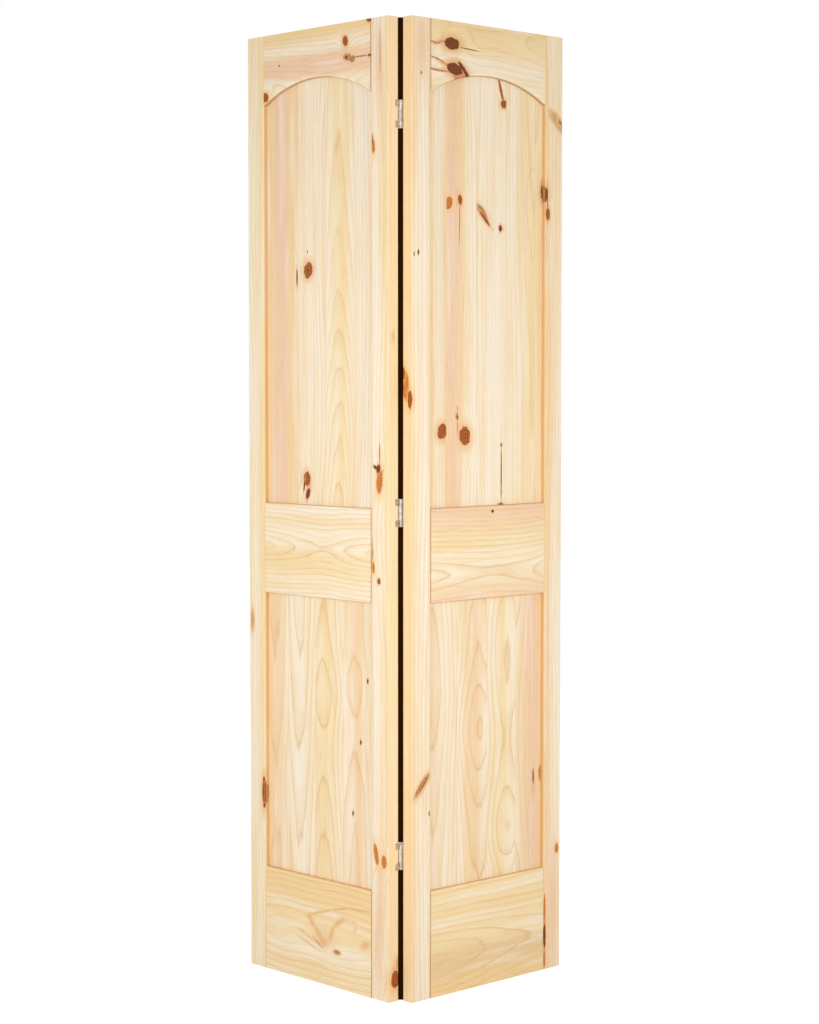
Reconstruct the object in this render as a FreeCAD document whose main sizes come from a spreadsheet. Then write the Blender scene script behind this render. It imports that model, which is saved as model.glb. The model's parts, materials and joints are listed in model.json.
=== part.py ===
import FreeCAD, Part
import math
import os

import Sketcher

# Two-leaf bifold closet door with arched upper panels, standing folded in a V.
#
# Part frame: +Z up, X across the V, Y from the hinged apex (low Y) to the open ends (high Y).
# The origin is at the bottom centre of the folded door's box.
#
# Leaf frame: x runs along the leaf (away from the hinged edge on the right leaf, towards it on the
# left one), y runs from the front face (0) to the back face (leaf_thick), z runs up.  The right
# leaf is that frame turned by +rest_angle, the left leaf is its mirror turned by -rest_angle.

SIZES = {
    # leaf
    "leaf_height": 2007.0,
    "leaf_width": 451.0,
    "leaf_thick": 28.6,
    "rest_angle": 46.0,         # each leaf from the shut plane
    # frame members
    "stile_width": 54.0,
    "bottom_rail_height": 224.0,
    "mid_rail_base": 819.0,
    "mid_rail_height": 195.0,
    "top_rail_crown": 103.0,    # height of the top rail at the crown of the arch
    "arch_rise": 45.0,
    # moulded edge and panel groove
    "moulding_width": 7.5,
    "moulding_drop": 1.5,
    "moulding_nose": 2.2,       # rounding of the moulding's inner arris
    "groove_width": 10.0,
    "groove_depth": 10.0,
    "tongue_fit": 0.1,          # panel or tongue face to groove wall
    "tongue_play": 0.5,         # rail tongue end to groove floor
    "panel_play": 2.0,          # room for the panel to swell
    # eased arrises
    "front_ease": 2.0,
    "back_ease": 3.5,           # back arris of the hinged edge
    # edge-glued panels: first stave next to the hinged edge, then full staves
    "stave_width": 89.0,
    "left_upper_first": 71.0,
    "left_lower_first": 17.0,
    "right_upper_first": 61.0,
    "right_lower_first": 94.0,
    # bores for the pivots and the guide
    "pivot_bore_radius": 4.8,
    "pivot_bore_depth": 44.0,
    "pivot_inset": 25.0,        # bore axis from the leaf's outer edge
    # hinges
    "hinge_height": 56.0,
    "shut_room": 0.4,           # between the tabs when the door is shut flat
    "top_hinge_drop": 194.0,    # hinge centre below the top of the leaf
    "mid_hinge_rise": 1006.0,   # hinge centre above the bottom of the leaf
    "low_hinge_rise": 300.0,
    "barrel_radius": 2.7,
    "end_knuckle": 13.0,
    "knuckle_gap": 0.2,
    "sweep_room": 0.3,          # plate to the other plate's knuckles
    "pin_radius": 1.4,
    "pin_fit": 0.05,
    "plate_thick": 1.3,
    "plate_width": 30.0,
    "plate_corner": 5.0,
    "neck_foot": 3.0,
    "left_tab_reach": 9.0,
    "right_tab_reach": 3.0,
    # hinge screws
    "screw_pitch": 30.0,
    "screw_inset": 18.0,        # from the hinged edge of the leaf
    "screw_hole_radius": 2.0,
    "sink_land": 0.1,           # straight wall under a countersink
    "screw_length": 19.0,
    "screw_fit": 0.05,
}

# Expressions shared by several pieces, all in terms of the sheet.
EDGE_GAP = "(2 * Dim.plate_thick + Dim.shut_room)"          # between the hinged edges, shut flat
PIN_SETBACK = "(Dim.barrel_radius + Dim.plate_thick)"       # hinge axis behind the back faces
HALF_OPEN = "(Dim.leaf_width / 2 - Dim.stile_width)"
GROOVE_FRONT = "((Dim.leaf_thick - Dim.groove_width) / 2)"
GROOVE_BACK = "((Dim.leaf_thick + Dim.groove_width) / 2)"
CROWN_Z = "(Dim.leaf_height - Dim.top_rail_crown)"
SPRING_Z = f"({CROWN_Z} - Dim.arch_rise)"
ARCH_RADIUS = f"(({HALF_OPEN} ^ 2 + Dim.arch_rise ^ 2) / (2 * Dim.arch_rise))"
ARCH_CENTRE_Z = f"({CROWN_Z} - {ARCH_RADIUS})"
MID_RAIL_TOP = "(Dim.mid_rail_base + Dim.mid_rail_height)"
TONGUE_HALF = f"({HALF_OPEN} + Dim.groove_depth - Dim.tongue_play)"
PANEL_HALF = f"({HALF_OPEN} + Dim.groove_depth - Dim.panel_play)"
PANEL_THICK = "(Dim.groove_width - 2 * Dim.tongue_fit)"
PANEL_FRONT = f"({GROOVE_FRONT} + Dim.tongue_fit)"
MID_Y = "(Dim.leaf_thick / 2)"

# Hinge axis: the folded door's box is centred on Y = 0.
ROUNDED_OFF = "(Dim.front_ease * (sin(Dim.rest_angle) + cos(Dim.rest_angle) - 1))"
FRONT_REACH = (
    f"(({PIN_SETBACK} + Dim.leaf_thick) * cos(Dim.rest_angle)"
    f" - {EDGE_GAP} / 2 * sin(Dim.rest_angle) - {ROUNDED_OFF})"
)
BACK_REACH = (
    f"(({EDGE_GAP} / 2 + Dim.leaf_width) * sin(Dim.rest_angle)"
    f" - {PIN_SETBACK} * cos(Dim.rest_angle) - {ROUNDED_OFF})"
)
AXIS_Y = f"(({FRONT_REACH} - {BACK_REACH}) / 2)"

LEAF_SIDE = {"left": -1, "right": 1}
HINGE_BASE = {
    "top_hinge": "(Dim.leaf_height - Dim.top_hinge_drop - Dim.hinge_height / 2)",
    "mid_hinge": "(Dim.mid_hinge_rise - Dim.hinge_height / 2)",
    "low_hinge": "(Dim.low_hinge_rise - Dim.hinge_height / 2)",
}

doc = FreeCAD.newDocument("BifoldDoor")
sheet = doc.addObject("Spreadsheet::Sheet", "Dim")
sub_parts = []


def fill_sheet():
    """Write every driving size to the sheet as text, next to its name."""
    for row, (name, number) in enumerate(SIZES.items(), start=1):
        sheet.set(f"A{row}", name)
        sheet.set(f"B{row}", str(number))
        sheet.setAlias(f"B{row}", name)
    doc.recompute()


def value(expression):
    """The present value of an expression."""
    result = sheet.evalExpression(expression.replace("Dim.", ""))
    return float(getattr(result, "Value", result))


def bind(obj, **expressions):
    """Bind properties of an object; a double underscore stands for a dot."""
    for name, expression in expressions.items():
        obj.setExpression(name.replace("__", "."), str(expression))


# --- sketches ---------------------------------------------------------------------------------

def new_body(label):
    return doc.addObject("PartDesign::Body", label)


def sketch_on(body, name, role, offset="0", rise="0"):
    """A sketch on one of the body's own planes, moved along its normal and along its Y axis."""
    sketch = body.newObject("Sketcher::SketchObject", name)
    plane = next(f for f in body.Origin.OriginFeatures if f.Role == role)
    sketch.AttachmentSupport = [(plane, "")]
    sketch.MapMode = "FlatFace"
    bind(sketch, AttachmentOffset__Base__z=offset, AttachmentOffset__Base__y=rise)
    return sketch


def pin_point(sketch, geometry, position, across, up):
    """Hold a sketch point at two expressions measured from the sketch's origin."""
    for kind, expression in (("DistanceX", across), ("DistanceY", up)):
        number = value(expression)
        constraint = Sketcher.Constraint(kind, -1, 1, geometry, position, number)
        index = sketch.addConstraint(constraint)
        sketch.setExpression(f"Constraints[{index}]", expression)


def polygon(sketch, points):
    """A closed outline through points given as pairs of expressions."""
    corners = [FreeCAD.Vector(value(x), value(y), 0) for x, y in points]
    first = sketch.GeometryCount
    count = len(corners)
    for index, corner in enumerate(corners):
        following = corners[(index + 1) % count]
        sketch.addGeometry(Part.LineSegment(corner, following), False)
    for index in range(count):
        following = first + (index + 1) % count
        sketch.addConstraint(Sketcher.Constraint("Coincident", first + index, 2, following, 1))
    for index, (across, up) in enumerate(points):
        pin_point(sketch, first + index, 1, across, up)


def rectangle(sketch, left, right, low, high):
    polygon(sketch, [(left, low), (right, low), (right, high), (left, high)])


def circle(sketch, across, up, radius):
    """A circle whose centre and radius are expressions."""
    centre = FreeCAD.Vector(value(across), value(up), 0)
    upright = FreeCAD.Vector(0, 0, 1)
    index = sketch.addGeometry(Part.Circle(centre, upright, value(radius)), False)
    pin_point(sketch, index, 3, across, up)
    constraint = sketch.addConstraint(Sketcher.Constraint("Radius", index, value(radius)))
    sketch.setExpression(f"Constraints[{constraint}]", radius)


# --- features ---------------------------------------------------------------------------------

def pad(body, sketch, length, both_ways=False, backwards=False):
    feature = body.newObject("PartDesign::Pad", sketch.Name + "Pad")
    feature.Profile = sketch
    feature.SideType = "Symmetric" if both_ways else "One side"
    feature.Reversed = backwards
    bind(feature, Length=length)
    sketch.Visibility = False
    doc.recompute()
    return feature


def pocket(body, sketch, length, backwards=False, may_miss=False):
    """Cut a sketch out of the body, and make sure that it did cut unless it may miss."""
    before = body.Shape.Volume
    feature = body.newObject("PartDesign::Pocket", sketch.Name + "Pocket")
    feature.Profile = sketch
    feature.Reversed = backwards
    bind(feature, Length=length)
    doc.recompute()
    if not (may_miss or body.Shape.Volume < before):
        raise ValueError(f"{sketch.Name} cuts nothing")
    return feature


def edges_where(shape, wanted):
    """Names of the straight or round edges whose two ends and middle all satisfy a test."""
    names = []
    for index, edge in enumerate(shape.Edges, start=1):
        middle = edge.valueAt((edge.FirstParameter + edge.LastParameter) / 2)
        points = [vertex.Point for vertex in edge.Vertexes] + [middle]
        if all(wanted(point) for point in points):
            names.append(f"Edge{index}")
    return names


def ease(body, name, radius, wanted, kind="PartDesign::Fillet"):
    """Round or chamfer the edges of the body that satisfy a test."""
    base = body.Tip
    names = edges_where(base.Shape, wanted)
    if not names:
        raise ValueError(f"{name} finds no edge")
    feature = body.newObject(kind, name)
    feature.Base = (base, names)
    bind(feature, **{"Radius" if kind.endswith("Fillet") else "Size": radius})
    doc.recompute()
    return feature


def near(a, b):
    return abs(a - b) < 1e-4


def stand_on_leaf(obj, label, leaf, along="0", up="0"):
    """Name a sub-part and put it on its leaf, a distance along the leaf and up it."""
    side = LEAF_SIDE[leaf]
    angle = f"({side} * Dim.rest_angle)"
    reach = (
        f"(({PIN_SETBACK} + Dim.leaf_thick) * sin(Dim.rest_angle)"
        f" + ({EDGE_GAP} / 2 + {along}) * cos(Dim.rest_angle))"
    )
    depth = (
        f"({AXIS_Y} - ({PIN_SETBACK} + Dim.leaf_thick) * cos(Dim.rest_angle)"
        f" + ({EDGE_GAP} / 2 + {along}) * sin(Dim.rest_angle))"
    )
    obj.Label = label
    obj.Placement.Rotation.Axis = FreeCAD.Vector(0, 0, 1)
    bind(
        obj,
        Placement__Base__x=f"{side} * {reach}",
        Placement__Base__y=depth,
        Placement__Base__z=up,
        Placement__Rotation__Angle=angle,
    )
    sub_parts.append(obj)
    return obj


# --- the moulded edge -------------------------------------------------------------------------

def moulded_edge():
    """The edge that stiles and rails share, from the front face to the back face, as pairs of
    distance back from the sight line and distance from the front face."""
    nose_width = "Dim.moulding_nose"
    nose_drop = "(Dim.moulding_drop * (1 - Dim.moulding_nose / Dim.moulding_width))"
    front = [
        ("Dim.moulding_width", "0"),
        (nose_width, nose_drop),
        ("Dim.moulding_nose * 0.3", "(Dim.moulding_drop + Dim.moulding_nose * 0.2)"),
        ("0", "(Dim.moulding_drop + Dim.moulding_nose)"),
        ("0", GROOVE_FRONT),
        ("Dim.groove_depth", GROOVE_FRONT),
    ]
    back = [(away, f"(Dim.leaf_thick - {depth})") for away, depth in reversed(front)]
    return front + back


# --- stiles -----------------------------------------------------------------------------------

def stile(leaf, name, inward, eases):
    """A moulded and grooved upright.  Its x runs inward from the edge of the leaf at x = 0."""
    body = new_body(f"{leaf}_{name}_body")

    def across(expression):
        return f"({inward} * ({expression}))"

    edge = [(across(f"Dim.stile_width - {back}"), y) for back, y in moulded_edge()]
    section = sketch_on(body, f"{leaf}_{name}_section", "XY_Plane")
    polygon(section, [("0", "0")] + edge + [("0", "Dim.leaf_thick")])
    pad(body, section, "Dim.leaf_height")
    for ease_name, radius, y in eases:
        face_y = value(y)
        ease(body, f"{leaf}_{name}_{ease_name}", radius,
             lambda p: near(p.x, 0) and near(p.y, face_y))
    return body


def pivot_bore(body, leaf, end, inward):
    """A blind bore in the end grain of an outer stile, for a pivot or the guide."""
    height = "Dim.leaf_height" if end == "top" else "0"
    mouth = sketch_on(body, f"{leaf}_{end}_pivot_bore", "XY_Plane", height)
    circle(mouth, f"({inward} * Dim.pivot_inset)", MID_Y, "Dim.pivot_bore_radius")
    pocket(body, mouth, "Dim.pivot_bore_depth", backwards=end == "bottom")


def hinge_stile(leaf):
    """The upright that carries the hinges, with pilot holes for their screws."""
    inward = LEAF_SIDE[leaf]
    eases = [("front_ease", "Dim.front_ease", "0"), ("back_ease", "Dim.back_ease", "Dim.leaf_thick")]
    body = stile(leaf, "hinge_stile", inward, eases)
    pilots = sketch_on(body, f"{leaf}_pilot_holes", "XZ_Plane", "(-Dim.leaf_thick)")
    for base in HINGE_BASE.values():
        for up in SCREW_HEIGHTS:
            circle(pilots, f"({inward} * Dim.screw_inset)", f"({base} + {up})",
                   f"({SCREW_RADIUS} + Dim.screw_fit)")
    pocket(body, pilots, "Dim.screw_length", backwards=True)
    stand_on_leaf(body, f"{leaf}_hinge_stile", leaf)


def outer_stile(leaf, name, bored_ends):
    """The upright at the free edge of a leaf, bored at its ends for the hardware."""
    inward = -LEAF_SIDE[leaf]
    eases = [("front_ease", "Dim.front_ease", "0"), ("rear_ease", "Dim.front_ease", "Dim.leaf_thick")]
    body = stile(leaf, name, inward, eases)
    for end in bored_ends:
        pivot_bore(body, leaf, end, inward)
    stand_on_leaf(body, f"{leaf}_{name}", leaf, along="Dim.leaf_width")


# --- rails ------------------------------------------------------------------------------------

def add_tongues(body, name, low, high):
    """The long core whose ends stand out as tongues for the stile grooves."""
    core = sketch_on(body, f"{name}_tongue", "YZ_Plane")
    back = f"({GROOVE_BACK} - Dim.tongue_fit)"
    rectangle(core, PANEL_FRONT, back, low, high)
    pad(body, core, f"2 * {TONGUE_HALF}", both_ways=True)


def straight_rail(leaf, kind, low, high, moulded_below):
    """A rail of one section all along.  Its x = 0 is the middle of the leaf."""
    name = f"{leaf}_{kind}"
    body = new_body(f"{name}_body")
    upper = [(depth, f"({high} - {away})") for away, depth in moulded_edge()]
    lower = [(depth, f"({low} + {away})") for away, depth in reversed(moulded_edge())]
    square = [("Dim.leaf_thick", low), ("0", low)]
    section = sketch_on(body, f"{name}_section", "YZ_Plane")
    polygon(section, upper + (lower if moulded_below else square))
    pad(body, section, f"2 * {HALF_OPEN}", both_ways=True)
    tongue_low = f"({low} + Dim.groove_depth)" if moulded_below else low
    add_tongues(body, name, tongue_low, f"({high} - Dim.groove_depth)")
    stand_on_leaf(body, name, leaf, along="Dim.leaf_width / 2")


def bottom_rail(leaf):
    straight_rail(leaf, "bottom_rail", "0", "Dim.bottom_rail_height", moulded_below=False)


def mid_rail(leaf):
    straight_rail(leaf, "mid_rail", "Dim.mid_rail_base", MID_RAIL_TOP, moulded_below=True)


def top_rail(leaf):
    """The arched rail.  Arch, moulding and panel groove are one profile turned about the axis
    of the arch, cut out of a square blank."""
    name = f"{leaf}_top_rail"
    body = new_body(f"{name}_body")
    blank = sketch_on(body, f"{name}_blank", "YZ_Plane")
    rectangle(blank, "0", "Dim.leaf_thick", SPRING_Z, "Dim.leaf_height")
    pad(body, blank, f"2 * {HALF_OPEN}", both_ways=True)
    add_tongues(body, name, f"({SPRING_Z} + Dim.groove_depth)", "Dim.leaf_height")

    profile = sketch_on(body, f"{name}_arch", "YZ_Plane", rise=ARCH_CENTRE_Z)
    rim = [(depth, f"({ARCH_RADIUS} + {away})") for away, depth in moulded_edge()]
    polygon(profile, [("0", "0")] + rim + [("Dim.leaf_thick", "0")])
    arch = body.newObject("PartDesign::Groove", f"{name}_arch_cut")
    arch.Profile = profile
    arch.ReferenceAxis = (profile, ["H_Axis"])
    arch.Angle = 360
    profile.Visibility = False
    doc.recompute()
    stand_on_leaf(body, name, leaf, along="Dim.leaf_width / 2")


# --- panels -----------------------------------------------------------------------------------

def stave_edges(first):
    """Expressions for the glue lines of a panel, from its hinged edge at 0 to its full width."""
    width = value(f"2 * {PANEL_HALF}")
    full = math.ceil((width - value(first)) / value("Dim.stave_width"))
    seams = [f"({first} + {count} * Dim.stave_width)" for count in range(full)]
    return ["0"] + seams + [f"(2 * {PANEL_HALF})"]


def panel_staves(leaf, name, low, high, first):
    """Staves that lie edge to edge and fill a panel; x = 0 is the middle of the leaf."""
    side = LEAF_SIDE[leaf]
    edges = stave_edges(first)
    staves = []
    for index, (near_edge, far_edge) in enumerate(zip(edges, edges[1:]), start=1):
        stave = doc.addObject("Part::Box", f"{name}_stave_{index}")
        left = f"({near_edge} - {PANEL_HALF})" if side > 0 else f"({PANEL_HALF} - {far_edge})"
        bind(
            stave,
            Length=f"{far_edge} - {near_edge}",
            Width=PANEL_THICK,
            Height=f"{high} - {low}",
            Placement__Base__x=left,
            Placement__Base__y=PANEL_FRONT,
            Placement__Base__z=low,
        )
        staves.append(stave)
    return staves


def group(label, pieces, leaf, along="0", up="0"):
    """One sub-part that holds several separate solids."""
    compound = doc.addObject("Part::Compound", f"{label}_group")
    compound.Links = pieces
    stand_on_leaf(compound, label, leaf, along=along, up=up)


def lower_panel(leaf):
    name = f"{leaf}_lower_panel"
    low = "(Dim.bottom_rail_height - Dim.groove_depth)"
    high = "(Dim.mid_rail_base + Dim.groove_depth - Dim.panel_play)"
    staves = panel_staves(leaf, name, low, high, f"Dim.{leaf}_lower_first")
    group(name, staves, leaf, along="Dim.leaf_width / 2")


def upper_panel(leaf):
    """Staves trimmed to the arch, which runs concentric with the groove in the top rail."""
    name = f"{leaf}_upper_panel"
    low = f"({MID_RAIL_TOP} - Dim.groove_depth)"
    arch_radius = f"({ARCH_RADIUS} + Dim.groove_depth - Dim.panel_play)"
    high = f"({ARCH_CENTRE_Z} + {arch_radius})"
    disc = doc.addObject("Part::Cylinder", f"{name}_arch_disc")
    disc.Placement.Rotation = FreeCAD.Rotation(FreeCAD.Vector(1, 0, 0), 90)
    bind(
        disc,
        Radius=arch_radius,
        Height=PANEL_THICK,
        Placement__Base__y=f"{PANEL_FRONT} + {PANEL_THICK}",
        Placement__Base__z=ARCH_CENTRE_Z,
    )
    field = doc.addObject("Part::Box", f"{name}_field")
    bind(
        field,
        Length=f"2 * {PANEL_HALF}",
        Width=PANEL_THICK,
        Height=f"{ARCH_CENTRE_Z} - {low}",
        Placement__Base__x=f"-1 * {PANEL_HALF}",
        Placement__Base__y=PANEL_FRONT,
        Placement__Base__z=low,
    )
    outline = doc.addObject("Part::Fuse", f"{name}_outline")
    outline.Base = disc
    outline.Tool = field
    trimmed = []
    for stave in panel_staves(leaf, name, low, high, f"Dim.{leaf}_upper_first"):
        piece = doc.addObject("Part::Common", f"{stave.Name}_trimmed")
        piece.Base = stave
        piece.Tool = outline
        trimmed.append(piece)
    group(name, trimmed, leaf, along="Dim.leaf_width / 2")


# --- hinges -----------------------------------------------------------------------------------

SCREW_SINK = "(Dim.plate_thick - Dim.sink_land)"
SCREW_RADIUS = "(Dim.screw_hole_radius - 2 * Dim.screw_fit)"
SCREW_HEIGHTS = [
    "(Dim.hinge_height / 2 - Dim.screw_pitch / 2)",
    "(Dim.hinge_height / 2 + Dim.screw_pitch / 2)",
]

# Low and high ends of each plate's knuckles, from the bottom of the barrel up.
KNUCKLES = {
    "left": [
        ("(Dim.end_knuckle + Dim.knuckle_gap)",
         "(Dim.hinge_height - Dim.end_knuckle - Dim.knuckle_gap)"),
    ],
    "right": [
        ("0", "Dim.end_knuckle"),
        ("(Dim.hinge_height - Dim.end_knuckle)", "Dim.hinge_height"),
    ],
}


def hinge_plate(leaf, hinge):
    """A flange on the back face, tabs bent onto the butt edge, and necks rolled into knuckles."""
    side = LEAF_SIDE[leaf]
    other = "right" if leaf == "left" else "left"
    name = f"{hinge}_{leaf}_plate"
    body = new_body(f"{name}_body")
    face = "Dim.leaf_thick"
    axis_x = f"({-side} * {EDGE_GAP} / 2)"
    axis_y = f"(Dim.leaf_thick + {PIN_SETBACK})"

    def across(expression):
        return f"({side} * ({expression}))"

    flange = sketch_on(body, f"{name}_flange", "XZ_Plane", f"(-{face})")
    rectangle(flange, "0", across("Dim.plate_width"), "0", "Dim.hinge_height")
    pad(body, flange, "Dim.plate_thick", backwards=True)
    far_x = value(across("Dim.plate_width"))
    ease(body, f"{name}_corners", "Dim.plate_corner",
         lambda p: near(p.x, far_x) and (near(p.z, 0) or near(p.z, value("Dim.hinge_height"))))

    tabs = sketch_on(body, f"{name}_tabs", "YZ_Plane")
    reach = f"({face} - Dim.{leaf}_tab_reach)"
    back = f"({face} + Dim.plate_thick)"
    rectangle(tabs, reach, back, "0", "Dim.end_knuckle")
    rectangle(tabs, reach, back, "(Dim.hinge_height - Dim.end_knuckle)", "Dim.hinge_height")
    pad(body, tabs, "Dim.plate_thick", backwards=side > 0)

    for number, (low, high) in enumerate(KNUCKLES[other], start=1):
        sweep = sketch_on(body, f"{name}_sweep_{number}", "XY_Plane", f"({high}) + Dim.knuckle_gap")
        circle(sweep, axis_x, axis_y, "(Dim.barrel_radius + Dim.sweep_room)")
        pocket(body, sweep, f"({high}) - ({low}) + 2 * Dim.knuckle_gap", may_miss=True)

    for number, (low, high) in enumerate(KNUCKLES[leaf], start=1):
        neck = sketch_on(body, f"{name}_neck_{number}", "XY_Plane", low)
        polygon(neck, [
            (axis_x, axis_y),
            (axis_x, f"({axis_y} - Dim.barrel_radius)"),
            ("0", face),
            (across("Dim.neck_foot"), face),
            (across("Dim.neck_foot"), back),
            (across(f"Dim.barrel_radius - {EDGE_GAP} / 2"), axis_y),
        ])
        pad(body, neck, f"({high}) - ({low})")
        knuckle = sketch_on(body, f"{name}_knuckle_{number}", "XY_Plane", low)
        circle(knuckle, axis_x, axis_y, "Dim.barrel_radius")
        pad(body, knuckle, f"({high}) - ({low})")

    bore = sketch_on(body, f"{name}_bore", "XY_Plane", "Dim.hinge_height")
    circle(bore, axis_x, axis_y, "(Dim.pin_radius + Dim.pin_fit)")
    pocket(body, bore, "Dim.hinge_height")

    holes = sketch_on(body, f"{name}_screw_holes", "XZ_Plane", f"(-{face})")
    for up in SCREW_HEIGHTS:
        circle(holes, across("Dim.screw_inset"), up, "Dim.screw_hole_radius")
    pocket(body, holes, "Dim.plate_thick")
    back_y = value(back)
    hole_x = value(across("Dim.screw_inset"))
    hole_radius = value("Dim.screw_hole_radius")
    ease(body, f"{name}_countersinks", SCREW_SINK,
         lambda p: near(p.y, back_y) and any(
             near(math.hypot(p.x - hole_x, p.z - value(up)), hole_radius)
             for up in SCREW_HEIGHTS),
         kind="PartDesign::Chamfer")
    stand_on_leaf(body, name, leaf, up=HINGE_BASE[hinge])


def hinge_pin(hinge):
    """A plain pin, as long as the barrel and flush at both ends."""
    pin = doc.addObject("Part::Cylinder", f"{hinge}_pin")
    pin.Label = f"{hinge}_pin"
    bind(pin, Radius="Dim.pin_radius", Height="Dim.hinge_height",
         Placement__Base__y=AXIS_Y, Placement__Base__z=HINGE_BASE[hinge])
    sub_parts.append(pin)


def screw(name, across, up):
    """A flat-head wood screw that points to -y, flush with the plate's outer face."""
    into_wood = FreeCAD.Rotation(FreeCAD.Vector(1, 0, 0), 90)
    head_face = "(Dim.leaf_thick + Dim.plate_thick)"
    head = doc.addObject("Part::Cone", f"{name}_head")
    bind(head, Radius1=f"{SCREW_RADIUS} + {SCREW_SINK}", Radius2=SCREW_RADIUS,
         Height=SCREW_SINK, Placement__Base__y=head_face)
    shank = doc.addObject("Part::Cylinder", f"{name}_shank")
    bind(shank, Radius=SCREW_RADIUS, Height=f"Dim.screw_length - {SCREW_SINK}",
         Placement__Base__y=f"{head_face} - {SCREW_SINK}")
    for piece in (head, shank):
        piece.Placement.Rotation = into_wood
        bind(piece, Placement__Base__x=across, Placement__Base__z=up)
    whole = doc.addObject("Part::Fuse", name)
    whole.Base = head
    whole.Tool = shank
    return whole


def hinge_screws(leaf):
    """All the hinge screws of one leaf."""
    name = f"{leaf}_hinge_screws"
    across = f"{LEAF_SIDE[leaf]} * Dim.screw_inset"
    places = [f"({base} + {up})" for base in HINGE_BASE.values() for up in SCREW_HEIGHTS]
    pieces = [screw(f"{name}_{number}", across, up) for number, up in enumerate(places, start=1)]
    group(name, pieces, leaf)


# --- assembly ---------------------------------------------------------------------------------

def build():
    fill_sheet()
    for leaf in LEAF_SIDE:
        hinge_stile(leaf)
        bottom_rail(leaf)
        mid_rail(leaf)
        top_rail(leaf)
        lower_panel(leaf)
        upper_panel(leaf)
        hinge_screws(leaf)
    outer_stile("left", "jamb_stile", ["top", "bottom"])
    outer_stile("right", "lead_stile", ["top"])
    for hinge in HINGE_BASE:
        hinge_plate("left", hinge)
        hinge_plate("right", hinge)
        hinge_pin(hinge)
    doc.recompute()


def check():
    """Stop before anything is written if an object failed or a sub-part has no sound shape."""
    for obj in doc.Objects:
        if "Invalid" in obj.State or "Error" in obj.State:
            raise ValueError(f"{obj.Label} failed: {obj.State}")
    for part in sub_parts:
        if part.Shape.isNull() or not part.Shape.isValid() or not part.Shape.Solids:
            raise ValueError(f"{part.Label} has no valid solid")


def write_parts():
    os.makedirs("parts", exist_ok=True)
    for part in sub_parts:
        part.Shape.exportStep(f"parts/{part.Label}.step")
        print(part.Label, len(part.Shape.Solids), "solids", round(part.Shape.Volume), "mm3")


build()
check()
write_parts()
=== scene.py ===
"""Looks of a two-leaf bifold closet door in knotty pine, standing folded in a V."""

import json
import logging
import math
from dataclasses import dataclass, field
from enum import Enum
from functools import reduce
from typing import Iterable, Optional, Sequence

import bpy
from mathutils import Matrix, Vector

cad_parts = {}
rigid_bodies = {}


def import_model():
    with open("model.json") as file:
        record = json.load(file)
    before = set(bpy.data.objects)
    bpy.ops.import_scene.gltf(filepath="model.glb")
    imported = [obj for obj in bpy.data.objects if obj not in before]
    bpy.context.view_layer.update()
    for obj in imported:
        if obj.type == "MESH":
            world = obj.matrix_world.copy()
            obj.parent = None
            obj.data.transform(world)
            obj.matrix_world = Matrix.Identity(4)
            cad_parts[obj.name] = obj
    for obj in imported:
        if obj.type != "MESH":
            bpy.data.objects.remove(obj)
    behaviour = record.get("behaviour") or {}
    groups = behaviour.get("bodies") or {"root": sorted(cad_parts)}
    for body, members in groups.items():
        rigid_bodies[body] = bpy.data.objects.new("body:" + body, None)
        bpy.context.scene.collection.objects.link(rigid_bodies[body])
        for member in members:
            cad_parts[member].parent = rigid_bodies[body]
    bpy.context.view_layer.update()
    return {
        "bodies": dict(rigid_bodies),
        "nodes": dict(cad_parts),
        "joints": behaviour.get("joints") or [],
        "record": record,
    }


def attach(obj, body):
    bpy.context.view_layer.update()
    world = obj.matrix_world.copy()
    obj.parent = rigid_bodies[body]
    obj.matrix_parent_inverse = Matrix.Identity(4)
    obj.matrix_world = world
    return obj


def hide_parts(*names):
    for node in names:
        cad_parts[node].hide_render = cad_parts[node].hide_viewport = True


LOG = logging.getLogger("bifold_door")

Item = bpy.types.Object
Socket = bpy.types.NodeSocket
Pair = tuple[float, float]
Triple = tuple[float, float, float]
Rgb = tuple[float, float, float]
Paint = tuple[Rgb, float]

MM = 0.001
WHITE = (1.0, 1.0, 1.0, 1.0)
# Distance from a tree's heart that the top of a curve node stands for, in mm.
CURVE_TOP = 200.0


def linear(rgb: Sequence[float]) -> tuple[float, float, float, float]:
    """Turn a display colour into the scene's linear colour.

    Args:
        rgb: Red, green and blue from 0 to 255.

    Returns:
        Linear red, green, blue and an alpha of 1.
    """
    parts = [c / 255 for c in rgb]
    curve = [p / 12.92 if p <= 0.04045 else ((p + 0.055) / 1.055) ** 2.4 for p in parts]
    return (curve[0], curve[1], curve[2], 1.0)


class Side(Enum):
    """Which leaf a piece belongs to."""

    LEFT = -1
    RIGHT = 1

    @property
    def word(self) -> str:
        """Its word in the names of pieces and finishes."""
        return self.name.lower()

    @property
    def mirror(self) -> Matrix:
        """Matrix between the right half of the room and the leaf's own half."""
        return Matrix.Diagonal((self.value, 1, 1, 1))


class Run(Enum):
    """Which way the grain of a board runs."""

    UPRIGHT = 1
    LEVEL = 2


class Tone(Enum):
    """Colours that the pine has between its knots."""

    CREAM = (252, 236, 207)
    IVORY = (253, 240, 218)
    STRAW = (250, 227, 180)
    HONEY = (247, 215, 160)
    PEACH = (248, 216, 178)
    ROSE = (245, 207, 178)
    TAN = (236, 204, 156)


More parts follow.
